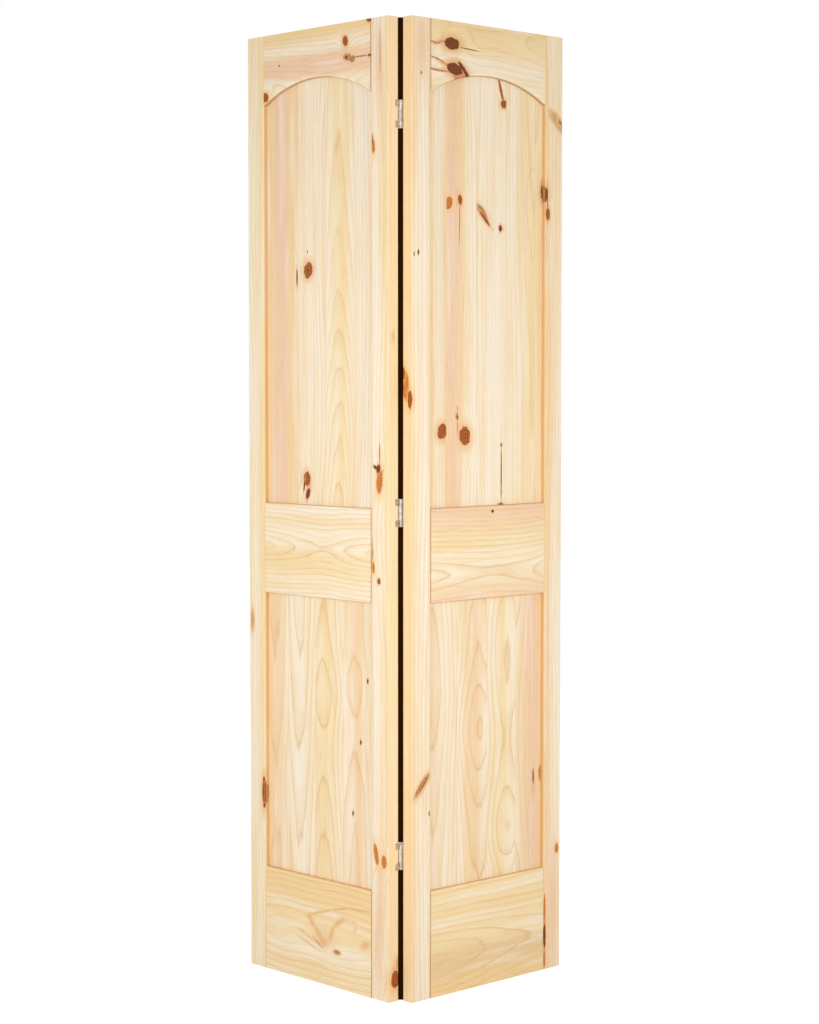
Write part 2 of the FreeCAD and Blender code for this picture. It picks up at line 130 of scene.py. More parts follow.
class Mark(Enum):
    """Kinds of mark in the pine: core, body, rim and halo colour, and how hard the edge is."""

    SHADE = ((226, 176, 122), (232, 186, 134), (242, 206, 160), (248, 220, 180), 0.15)
    BLUSH = ((240, 197, 156), (243, 203, 162), (246, 212, 176), (248, 219, 184), 0.1)
    RESIN = ((232, 178, 114), (234, 186, 126), (240, 202, 148), (247, 216, 168), 0.15)
    GOLD = ((204, 154, 94), (212, 164, 106), (228, 186, 130), (246, 214, 166), 0.45)
    PIN = ((74, 48, 18), (96, 66, 28), (140, 100, 52), (238, 204, 146), 0.55)
    CRACK = ((124, 84, 46), (150, 108, 66), (182, 140, 94), (240, 210, 158), 0.4)
    FADED = ((182, 118, 78), (204, 146, 104), (168, 108, 70), (240, 200, 154), 0.35)
    AMBER = ((194, 100, 32), (230, 150, 72), (160, 76, 22), (250, 198, 124), 0.62)
    RED = ((128, 58, 22), (200, 112, 54), (88, 38, 12), (240, 178, 108), 0.74)
    DARK = ((112, 52, 24), (140, 74, 38), (70, 32, 12), (232, 164, 100), 0.8)


UPRIGHT, LEVEL = Run
CREAM, IVORY, STRAW, HONEY, PEACH, ROSE, TAN = Tone
SHADE, BLUSH, RESIN, GOLD, PIN, CRACK, FADED, AMBER, RED, DARK = Mark
STAINS = (SHADE, BLUSH, RESIN, GOLD)
# Round knots, which push the growth rings aside.
KNOTS = (AMBER, RED, DARK)


@dataclass(frozen=True)
class Spot:
    """Where a knot, crack or streak is on its leaf.

    Attributes:
        s: Distance from the leaf's hinged edge, in mm.
        z: Height, in mm.
        across: Half its width, in mm.
        along: Half its height, in mm.
        lean: Turn towards the outer edge, in degrees.
        y: Depth of its middle under the front face, in mm.
        deep: Half its depth, in mm.
    """

    s: float
    z: float
    across: float
    along: float
    lean: float = 0.0
    y: float = 0.0
    deep: float = 60.0


@dataclass(frozen=True)
class Wood:
    """How the growth rings lie in a board, and what marks it has.

    Attributes:
        heart: Height or distance of the tree's heart from the board's middle, in mm.
        growth: Yearly growth, in mm.
        rings: Distance to the heart in mm by fraction of the length, along the grain.
        tones: Tone by fraction of the width, across the grain.
        marks: The numbers of a Spot for every mark of each kind.
        drift: Slope of the grain.
        wave: How far the grain wanders, in mm.
        contrast: Strength of the late growth, from 0 to 1.
    """

    heart: float
    growth: float
    rings: dict[float, float]
    tones: dict[float, Tone]
    marks: dict[Mark, list[tuple[float, ...]]] = field(default_factory=dict)
    drift: float = 0.0
    wave: float = 9.0
    contrast: float = 0.62


@dataclass(frozen=True)
class Board:
    """One piece of solid pine in its leaf.

    Attributes:
        name: Name of its finish.
        run: Which way the grain runs.
        s: Lowest and highest distance from the hinged edge, in mm.
        z: Lowest and highest height, in mm.
        wood: Its wood.
    """

    name: str
    run: Run
    s: Pair
    z: Pair
    wood: Wood

    @property
    def middle(self) -> Pair:
        """Distance and height of its middle, in mm."""
        return sum(self.s) / 2, sum(self.z) / 2

    @property
    def spans(self) -> Pair:
        """Size across and along the grain, in mm."""
        wide, tall = self.s[1] - self.s[0], self.z[1] - self.z[0]
        return (wide, tall) if self.run is UPRIGHT else (tall, wide)

    @property
    def stave(self) -> bool:
        """Whether it is a stave of a panel."""
        return "stave" in self.name


@dataclass(frozen=True)
class Openings:
    """Sight lines of the two panels of a leaf, in mm.

    Attributes:
        sides: Distances from the hinged edge.
        lower: Heights of the lower panel's ends.
        upper: Heights of the upper panel's foot and of the top of the stiles' moulding.
        arch: Middle of the arch.
        radius: Radius of the arch.
        quirk: Width of the painted shade in the hollow beside a sight line.
    """

    sides: Pair = (54.0, 397.0)
    lower: Pair = (224.0, 819.0)
    upper: Pair = (1014.0, 1859.0)
    arch: Pair = (225.5, 1554.7)
    radius: float = 349.3
    quirk: float = 2.4


@dataclass(frozen=True)
class LeafFrame:
    """Where a leaf stands; the left leaf is the right one's mirror.

    Attributes:
        turn: Angle of the leaf from the shut plane, in radians.
        pin_y: Place of the hinge pins, in mm.
        setback: From the leaf's back face to the pins, in mm.
        half_gap: From the leaf's hinged edge to the pins, shut flat, in mm.
        thick: Thickness of the leaf, in mm.
    """

    turn: float = math.radians(46)
    pin_y: float = -150.578
    setback: float = 4.0
    half_gap: float = 1.5
    thick: float = 28.6

    @property
    def base(self) -> Vector:
        """Find the front arris of the right leaf's hinged edge.

        Returns:
            Its place on the floor, in mm.
        """
        reach = self.setback + self.thick
        sin, cos = math.sin(self.turn), math.cos(self.turn)
        return Vector((reach * sin + self.half_gap * cos,
                       self.pin_y - reach * cos + self.half_gap * sin, 0.0))

    def to_leaf(self) -> Matrix:
        """Matrix from the right half of the room to the leaf, in mm."""
        return Matrix.Rotation(-self.turn, 4, "Z") @ Matrix.Translation(-self.base)

    def to_room(self, side: Side) -> Matrix:
        """Matrix from a leaf to the room, in mm."""
        return side.mirror @ self.to_leaf().inverted()


class Desk:
    """Adds and joins nodes in one node tree."""

    def __init__(self, tree: bpy.types.NodeTree) -> None:
        """Empty the tree."""
        self.tree = tree
        tree.nodes.clear()

    def node(self, kind: str, inputs: Optional[dict[object, object]] = None,
             **settings: object) -> bpy.types.Node:
        """Add a node.

        Args:
            kind: Blender's name for the node, after ShaderNode.
            inputs: An output socket, a number or a colour for inputs by name or number.
            **settings: Its own settings.

        Returns:
            The node.
        """
        made = self.tree.nodes.new(f"ShaderNode{kind}")
        for name, setting in settings.items():
            setattr(made, name, setting)
        for key, source in (inputs or {}).items():
            if isinstance(source, Socket):
                self.tree.links.new(source, made.inputs[key])
            else:
                made.inputs[key].default_value = source
        return made

    def sum(self, operation: str, *values: object) -> Socket:
        """Add a Math node for the operation on some values, and return its number."""
        return self.node("Math", dict(enumerate(values)), operation=operation).outputs[0]

    def least(self, values: Iterable[Socket]) -> Socket:
        """The smallest of some numbers."""
        return reduce(lambda one, other: self.sum("MINIMUM", one, other), values)

    def span(self, one: Socket, other: Socket) -> Socket:
        """Straight distance covered by two steps at right angles."""
        squares = [self.sum("MULTIPLY", step, step) for step in (one, other)]
        return self.sum("SQRT", self.sum("ADD", *squares))

    def ease(self, value: Socket, start: float, end: float, low: float = 0.0,
             high: float = 1.0) -> Socket:
        """Turn a number smoothly from low to high, as it goes from start to end."""
        return self.node("MapRange", {"Value": value, "From Min": start, "From Max": end,
                                      "To Min": low, "To Max": high},
                         interpolation_type="SMOOTHSTEP").outputs["Result"]

    def blend(self, share: object, first: Socket, second: object, mode: str = "MIX") -> Socket:
        """Mix two colours.

        Args:
            share: How much of the second.
            first: The first colour.
            second: The second colour, a socket or a display colour.
            mode: Blender's name for the mix.

        Returns:
            The mixed colour.
        """
        if not isinstance(second, Socket):
            second = linear(second)
        return self.node("Mix", {0: share, 6: first, 7: second}, data_type="RGBA",
                         blend_type=mode).outputs[2]

    def ramp(self, value: Socket, stops: Sequence[tuple[float, Rgb]]) -> Socket:
        """Add a Color Ramp.

        Args:
            value: Its input.
            stops: Places in rising order, and display colours.

        Returns:
            Its colour.
        """
        made = self.node("ValToRGB", {"Fac": value})
        made.color_ramp.interpolation = "EASE"
        elements = made.color_ramp.elements
        while len(elements) < len(stops):
            elements.new(1.0)
        for element, (place, colour) in zip(elements, stops):
            element.position = place
            element.color = linear(colour)
        return made.outputs["Color"]

    def noise(self, place: Socket, scale: float = 1.0, detail: float = 2.0,
              rough: float = 0.5) -> Socket:
        """Add a Noise Texture at some place, and return its number."""
        return self.node("TexNoise", {"Vector": place, "Scale": scale, "Detail": detail,
                                      "Roughness": rough}, noise_dimensions="3D").outputs["Fac"]

    def finish(self, inputs: dict[str, object], relief: Socket, strength: float,
               depth: float) -> None:
        """Add the shader, its bump and the output.

        Args:
            inputs: The shader's inputs.
            relief: Height of the surface.
            strength: Strength of the bump.
            depth: Depth of the bump, in mm.
        """
        bump = self.node("Bump", {"Strength": strength, "Distance": depth * MM, "Height": relief})
        shader = self.node("BsdfPrincipled", {**inputs, "Normal": bump.outputs["Normal"]})
        self.node("OutputMaterial", {"Surface": shader.outputs["BSDF"]})

    def seen(self) -> Socket:
        """Tell rays that show a surface to the eye from those that light it.

        Returns:
            One for the eye's rays, none for the others.
        """
        rays = self.node("LightPath").outputs
        seen = self.sum("MAXIMUM", rays["Is Camera Ray"], rays["Is Glossy Ray"])
        return self.sum("MAXIMUM", seen, rays["Is Transmission Ray"])


def blank(name: str) -> tuple[bpy.types.Material, Desk]:
    """Start a material.

    Args:
        name: Its name.

    Returns:
        The material and the desk for its nodes.
    """
    material = bpy.data.materials.new(name)
    material.use_nodes = True
    return material, Desk(material.node_tree)


@dataclass(frozen=True)
class PineFinish:
    """Bare, sanded knotty pine; a paint is a display colour and how much of it shows.

    Attributes:
        late: Paint of the late growth.
        line: Paint of the crisp line that ends each year.
        edge: Paint of the hinged edge.
        edge_span: Where the hinged edge's paint ends and is full, in mm from the edge.
        fibres: The fibres' light and shade, as places on the noise and colours.
        joint: Paint of the line where a rail meets a stile.
        seam: Paint of the line where two staves meet.
        nose: Painted shade in the quirk of the straight mouldings.
        arch: Painted shade in the quirk of the arched moulding.
        ends: Paint of the sawn ends.
        specular: Strength of the sheen.
        roughness: Lowest and highest roughness.
        bump: Strength of the relief.
        relief: Depth of the relief, in mm.
    """

    late: Paint = ((241, 201, 142), 0.5)
    line: Paint = ((218, 166, 104), 0.42)
    edge: Paint = ((242, 210, 170), 0.4)
    edge_span: Pair = (6.0, 0.5)
    fibres: tuple[tuple[float, Rgb], ...] = (
        (0.3, (226, 214, 196)), (0.5, (255, 255, 255)), (0.7, (244, 236, 224)))
    joint: Paint = ((186, 138, 92), 0.36)
    seam: Paint = ((186, 138, 92), 0.24)
    # Painted shade in the quirks of the mouldings, straight and arched.
    nose: Paint = ((196, 144, 88), 0.6)
    arch: Paint = ((158, 118, 70), 0.72)
    ends: Paint = ((222, 182, 128), 0.55)
    specular: float = 0.18
    roughness: Pair = (0.46, 0.62)
    bump: float = 0.35
    relief: float = 0.24

    def material(self, side: Side, board: Board) -> bpy.types.Material:
        """Make the finish of one board."""
        return BoardNodes(self, side, board).build()


class BoardNodes:
    """The node tree of one board's pine."""

    def __init__(self, finish: PineFinish, side: Side, board: Board) -> None:
        """Start the material and find each place in the board.

        Args:
            finish: The colours and strengths.
            side: The leaf that the board is in.
            board: The board.
        """
        self.finish, self.board, self.wood = finish, board, board.wood
        name = f"pine_{side.word}_{board.name}"
        self.made, self.desk = blank(name)
        self.seed = sum(map(ord, name)) * 1.37
        frame, middle = LeafFrame(), board.middle
        start = frame.to_leaf().translation
        self.place = self.desk.node("Mapping", {
            "Vector": self.desk.node("TexCoord").outputs["Object"],
            "Scale": (side.value * 1000, 1000, 1000),
            "Rotation": (0, 0, -frame.turn),
            "Location": (start.x - middle[0], start.y, -middle[1]),
        }, vector_type="POINT").outputs["Vector"]
        width, self.depth, height = self.desk.node("SeparateXYZ", {0: self.place}).outputs
        upright = board.run is UPRIGHT
        self.across, self.along = (width, height) if upright else (height, width)
        self.s = self.desk.sum("ADD", width, middle[0])
        self.z = self.desk.sum("ADD", height, middle[1])

    def build(self) -> bpy.types.Material:
        """Lay the colours over each other, from the plain wood to the sawn ends.

        Returns:
            The finished material.
        """
        desk, wood, finish = self.desk, self.wood, self.finish
        reach, spots = self._marks()
        wander = self._noise(self.across, (80, 520), detail=1.5)
        wander = desk.sum("MULTIPLY_ADD", wander, wood.wave * 2, -wood.wave)
        shifted = desk.sum("ADD", self.across, wander)
        late, lines = self._growth(self._rings(shifted, reach))
        fibres = self._noise(self.across, (1.1, 70), detail=3.0, rough=0.6)
        clouds = self._noise(self.across, (26, 420), shift=9)

        share = desk.sum("MULTIPLY_ADD", shifted, 1 / self.board.spans[0], 0.5)
        self.colour = desk.ramp(share, [(place, tone.value) for place, tone in wood.tones.items()])
        for share, tone in (
            (desk.ease(clouds, 0.42, 0.72, 0.0, 0.5), HONEY.value),
            (desk.ease(clouds, 0.5, 0.3, 0.0, 0.6), IVORY.value),
            (desk.sum("MULTIPLY", late, wood.contrast * finish.late[1]), finish.late[0]),
            (desk.sum("MULTIPLY", lines, wood.contrast * finish.line[1]), finish.line[0]),
        ):
            self._lay(share, tone)
        self._lay(0.5, desk.ramp(fibres, finish.fibres), "MULTIPLY")
        if self.board.name == "hinge_stile":
            self._lay(desk.ease(self.s, *finish.edge_span, high=finish.edge[1]), finish.edge[0])
        self._seams()
        for mask, paint in spots:
            self._lay(mask, paint)
        # Painted shade in the hollows beside the panels' sight lines.
        self._quirks()
        if self.board.run is UPRIGHT:
            self._end_grain()

        relief = desk.sum("MULTIPLY_ADD", late, 0.5, fibres)
        relief = desk.sum("MULTIPLY_ADD", lines, -0.3, relief)
        smooth, rough = finish.roughness
        desk.finish({"Specular IOR Level": finish.specular, "Base Color": self.colour,
                     "Roughness": desk.ease(fibres, 0.3, 0.7, rough, smooth)},
                    relief, finish.bump, finish.relief)
        return self.made

    def _lay(self, share: object, colour: object, mode: str = "MIX") -> None:
        """Lay some of a colour over those so far."""
        self.colour = self.desk.blend(share, self.colour, colour, mode)

    def _noise(self, across: Socket, size: Pair, shift: float = 0.0, detail: float = 2.0,
               rough: float = 0.5) -> Socket:
        """Add noise that is squeezed across the grain and drawn out along it.

        Args:
            across: Place across the grain.
            size: Size of its features across and along the grain, in mm.
            shift: Step from the board's own seed.
            detail: Number of finer layers.
            rough: Strength of each finer layer.

        Returns:
            Its number.
        """
        desk, (wide, long) = self.desk, size
        place = desk.node("CombineXYZ", {
            0: desk.sum("DIVIDE", across, wide),
            1: desk.sum("MULTIPLY_ADD", self.depth, 1 / wide, (self.seed + shift) % 50),
            2: desk.sum("DIVIDE", self.along, long)})
        return desk.noise(place.outputs[0], 1.0, detail, rough)

    def _marks(self) -> tuple[Optional[Socket], list[tuple[Socket, object]]]:
        """Find the board's marks.

        Returns:
            The distance to the nearest knot in knot radii, and pairs of mask and colour.
        """
        desk, marks = self.desk, self.wood.marks
        if not marks:
            return None, []
        rough = desk.sum("SUBTRACT", desk.noise(self.place, 0.14, 3.0, 0.6), 0.5)
        specks = desk.ramp(desk.noise(self.place, 0.9, 2.0, 0.6), (
            (0.3, (170, 140, 116)), (0.48, (255, 255, 255)), (0.7, (226, 200, 172))))
        spots, reaches = [], {
            kind: desk.least([self._reach(Spot(*numbers)) for numbers in marks[kind]])
            for kind in Mark if kind in marks}
        for kind, reach in reaches.items():
            ragged = desk.sum("MULTIPLY_ADD", rough, 0.6, reach)
            core, body, rim, halo, hard = kind.value
            share = desk.sum("DIVIDE", ragged, 2.0)
            if kind in STAINS:
                mask = desk.ease(ragged, 1.3, 2 * hard - 0.2, 0.0, 0.8)
                paint = desk.ramp(share, ((0.0, core), (0.2, body), (0.38, rim), (0.55, halo)))
            else:
                spots.append((desk.ease(ragged, 2.2, 0.95, 0.0, 0.6), halo))
                mask = desk.ease(ragged, 1.12, 0.55 + 0.4 * hard)
                rings = desk.ramp(share, (
                    (0.0, core), (0.07, body), (0.15, core), (0.23, body),
                    (0.31, core), (0.38, body), (0.46, rim), (0.53, halo)))
                paint = desk.blend(0.6, rings, specks, "MULTIPLY")
            spots.append((mask, paint))
        near = [reach for kind, reach in reaches.items() if kind in KNOTS]
        return desk.least(near) if near else None, spots

    def _reach(self, spot: Spot) -> Socket:
        """Measure the distance from a mark's middle.

        Args:
            spot: Where the mark is.

        Returns:
            The distance, which is 1 at the mark's edge.
        """
        middle = self.board.middle
        mapping = self.desk.node("Mapping", {
            "Vector": self.place,
            "Location": (spot.s - middle[0], spot.y, spot.z - middle[1]),
            "Rotation": (0, math.radians(spot.lean), 0),
            "Scale": (spot.across, spot.deep, spot.along),
        }, vector_type="TEXTURE")
        return self.desk.node("VectorMath", {0: mapping.outputs["Vector"]},
                              operation="LENGTH").outputs["Value"]

    def _rings(self, across: Socket, reach: Optional[Socket]) -> Socket:
        """Count the growth rings.

        Args:
            across: Place across the grain, with its wander.
            reach: Distance to the nearest knot in knot radii, where there is one.

        Returns:
            Number of the ring at each place, with its fraction.
        """
        desk, wood = self.desk, self.wood
        share = desk.sum("MULTIPLY_ADD", self.along, 1 / self.board.spans[1], 0.5)
        curve = desk.node("FloatCurve", {"Value": share})
        points = curve.mapping.curves[0].points
        while len(points) < len(wood.rings):
            points.new(0.5, 0.5)
        for point, (place, distance) in zip(points, wood.rings.items()):
            point.location = (place, distance / CURVE_TOP)
        curve.mapping.update()
        heart = desk.sum("MULTIPLY_ADD", curve.outputs[0], CURVE_TOP, self.depth)
        aside = desk.sum("MULTIPLY_ADD", self.along, -wood.drift, across)
        radius = desk.span(desk.sum("SUBTRACT", aside, wood.heart), heart)
        ripple = self._noise(across, (16, 150), shift=4)
        radius = desk.sum("MULTIPLY_ADD", ripple, wood.growth * 0.55, radius)
        if reach is not None:
            push = desk.ease(reach, 4.0, 0.3, 0.0, min(wood.growth * 1.9, 12.0))
            radius = desk.sum("ADD", radius, push)
        return desk.sum("DIVIDE", radius, wood.growth)

    def _growth(self, rings: Socket) -> tuple[Socket, Socket]:
        """Draw each year's growth.

        Args:
            rings: Number of the ring at each place.

        Returns:
            Strength of the late growth, and of the thin line where it ends.
        """
        desk = self.desk
        share = desk.sum("FRACT", rings)
        year = desk.node("TexWhiteNoise", {"W": desk.sum("FLOOR", rings)}, noise_dimensions="1D")
        strength = desk.sum("MULTIPLY_ADD", year.outputs["Value"], 0.7, 0.45)
        fall = desk.ease(share, 1.0, 0.89)
        late, line = (
            desk.sum("MULTIPLY", desk.sum("MULTIPLY", desk.ease(share, *rise), fall), strength)
            for rise in ((0.3, 0.88), (0.78, 0.9)))
        return late, line

    def _seams(self) -> None:
        """Draw a thin darker line where the board meets its neighbour."""
        desk, (wide, long) = self.desk, self.board.spans
        if self.board.run is LEVEL:
            half, place, (tone, share) = long / 2, self.along, self.finish.joint
        elif self.board.stave:
            half, place, (tone, share) = wide / 2, self.across, self.finish.seam
        else:
            return
        gap = desk.sum("SUBTRACT", half, desk.sum("ABSOLUTE", place))
        self._lay(desk.ease(gap, 0.9, 0.1, 0.0, share), tone)

    def _quirks(self) -> None:
        """Paint shade into the hollow that runs along each sight line."""
        desk, board, opening = self.desk, self.board, Openings()
        tone, share = self.finish.nose
        if board.name == "top_rail":
            steps = [desk.sum("SUBTRACT", place, middle)
                     for place, middle in zip((self.s, self.z), opening.arch)]
            gap = desk.sum("SUBTRACT", desk.span(*steps), opening.radius)
            tone, share = self.finish.arch
        elif board.name == "mid_rail":
            gap = desk.least([desk.sum("SUBTRACT", self.z, opening.lower[1]),
                              desk.sum("SUBTRACT", opening.upper[0], self.z)])
        elif board.name == "bottom_rail":
            gap = desk.sum("SUBTRACT", opening.lower[0], self.z)
        elif board.stave:
            return
        else:
            near, far = opening.sides
            inner = (near, self.s) if board.name == "hinge_stile" else (self.s, far)
            past = []
            for low, high in (opening.lower, opening.upper):
                step = desk.sum("ABSOLUTE", desk.sum("SUBTRACT", self.z, (low + high) / 2))
                past.append(desk.sum("SUBTRACT", step, (high - low) / 2))
            gap = desk.sum("MAXIMUM", desk.sum("SUBTRACT", *inner), desk.least(past))
        # Painted shade: darker within the quirk's width of the sight line.
        self._lay(desk.ease(gap, opening.quirk, 0.3, 0.0, share), tone)

    def _end_grain(self) -> None:
        """Darken the ends, where the fibres are cut across."""
        desk, (tone, share) = self.desk, self.finish.ends
        normal = desk.node("TexCoord").outputs["Normal"]
        upward = desk.sum("ABSOLUTE", desk.node("SeparateXYZ", {0: normal}).outputs[2])
        self._lay(desk.ease(upward, 0.85, 0.98, 0.0, share), tone, "MULTIPLY")


@dataclass(frozen=True)
class SteelFinish:
    """Zinc-plated steel.

    Attributes:
        name: Name of the finish.
        bright: Lightest colour.
        dull: Darkest colour.
        roughness: Lowest and highest roughness.
        spangle: Size of the zinc's crystals, as features in a metre.
        drawn: Size of the drawing lines, as features in a metre each way.
    """

    name: str
    bright: Rgb = (202, 194, 182)
    dull: Rgb = (166, 158, 147)
    roughness: Pair = (0.34, 0.48)
    spangle: float = 160.0
    drawn: Triple = (2600, 2600, 180)

    def material(self) -> bpy.types.Material:
        """Make the finish.

        Returns:
            Its material.
        """
        made, desk = blank(self.name)
        place = desk.node("TexCoord").outputs["Object"]
        spangle = desk.noise(place, self.spangle, 3.0, 0.55)
        drawn = desk.node("Mapping", {"Scale": self.drawn, "Vector": place})
        lines = desk.noise(drawn.outputs["Vector"])
        colour = desk.ramp(spangle, ((0.3, self.dull), (0.62, self.bright), (0.8, self.dull)))
        desk.finish({"Metallic": 1.0, "Base Color": colour,
                     "Roughness": desk.ease(lines, 0.3, 0.7, *self.roughness)}, lines, 0.1, 0.01)
        return made


def deselect() -> None:
    """Leave edit mode with nothing selected."""
    if bpy.context.object and bpy.context.object.mode != "OBJECT":
        bpy.ops.object.mode_set(mode="OBJECT")
    bpy.ops.object.select_all(action="DESELECT")


def pick(*pieces: Item) -> None:
    """Select some pieces and nothing else.

    Args:
        *pieces: The pieces, the first of which becomes active.
    """
    deselect()
    for piece in pieces:
        piece.select_set(True)
    bpy.context.view_layer.objects.active = pieces[0]


def edit(mode: str, action: str) -> None:
    """Open the active mesh with all or none of it selected.

    Args:
        mode: What is selected: VERT, EDGE or FACE.
        action: SELECT or DESELECT.
    """
    bpy.ops.object.mode_set(mode="EDIT")
    bpy.ops.mesh.select_mode(type=mode)
    bpy.ops.mesh.select_all(action=action)


def close_up() -> None:
    """Turn all faces of the open mesh outwards and close it."""
    bpy.ops.mesh.select_all(action="SELECT")
    bpy.ops.mesh.normals_make_consistent(inside=False)
    bpy.ops.object.mode_set(mode="OBJECT")


def place_new(name: str, data: bpy.types.ID) -> Item:
    """Put a new object in the scene.

    Args:
        name: Its name.
        data: Its mesh, lamp or camera.

    Returns:
        The object.
    """
    made = bpy.data.objects.new(name, data)
    bpy.context.scene.collection.objects.link(made)
    return made


@dataclass
class Leaf:
    """One leaf: its frame members and its two panels of glued staves.

    Attributes:
        side: Which leaf it is.
        members: Boards of its frame.
        panels: Staves of each panel from the hinged edge, by the panel's name.
        frame: Where it stands.
        pine: Its finish.
    """

    side: Side
    members: tuple[Board, ...]
    panels: dict[str, tuple[Board, ...]]
    frame: LeafFrame = LeafFrame()
    pine: PineFinish = PineFinish()

    def dress(self, nodes: dict[str, Item]) -> None:
        """Give every board its finish.

        Args:
            nodes: The CAD nodes by name.
        """
        pieces = {board.name: (board,) for board in self.members} | self.panels
        for name, boards in pieces.items():
            node = nodes[f"{self.side.word}_{name}"]
            node.data.materials.clear()
            for board in boards:
                node.data.materials.append(self.pine.material(self.side, board))
            if len(boards) > 1:
                self._part(node, boards)
            LOG.info("%s: %d pine finishes", node.name, len(boards))

    def _part(self, node: Item, boards: Sequence[Board]) -> None:
        """Give each stave's faces their own slot.

        Args:
            node: The panel.
            boards: Its staves from the hinged edge.
        """
        seams = [board.s[1] for board in boards[:-1]]
        places = node.data.vertices
        for face in node.data.polygons:
            middle = sum((places[i].co for i in face.vertices), Vector()) / len(face.vertices)
            along = (self.frame.to_leaf() @ (self.side.mirror @ middle * 1000)).x
            along += self._shift(face, along, seams)
            face.material_index = sum(along > seam for seam in seams)

    def _shift(self, face: bpy.types.MeshPolygon, along: float,
               seams: Sequence[float]) -> float:
        """Find the step from a glued face into the stave that it belongs to.

        Args:
            face: A face of the panel.
            along: Distance of its middle from the hinged edge, in mm.
            seams: Distances of the glued faces, in mm.

        Returns:
            The step in mm, none away from the seams.
        """
        if not any(abs(along - seam) < 0.05 for seam in seams):
            return 0.0
        normal = self.frame.to_leaf().to_3x3() @ (self.side.mirror @ face.normal)
        return -0.1 if normal.x > 0 else 0.1


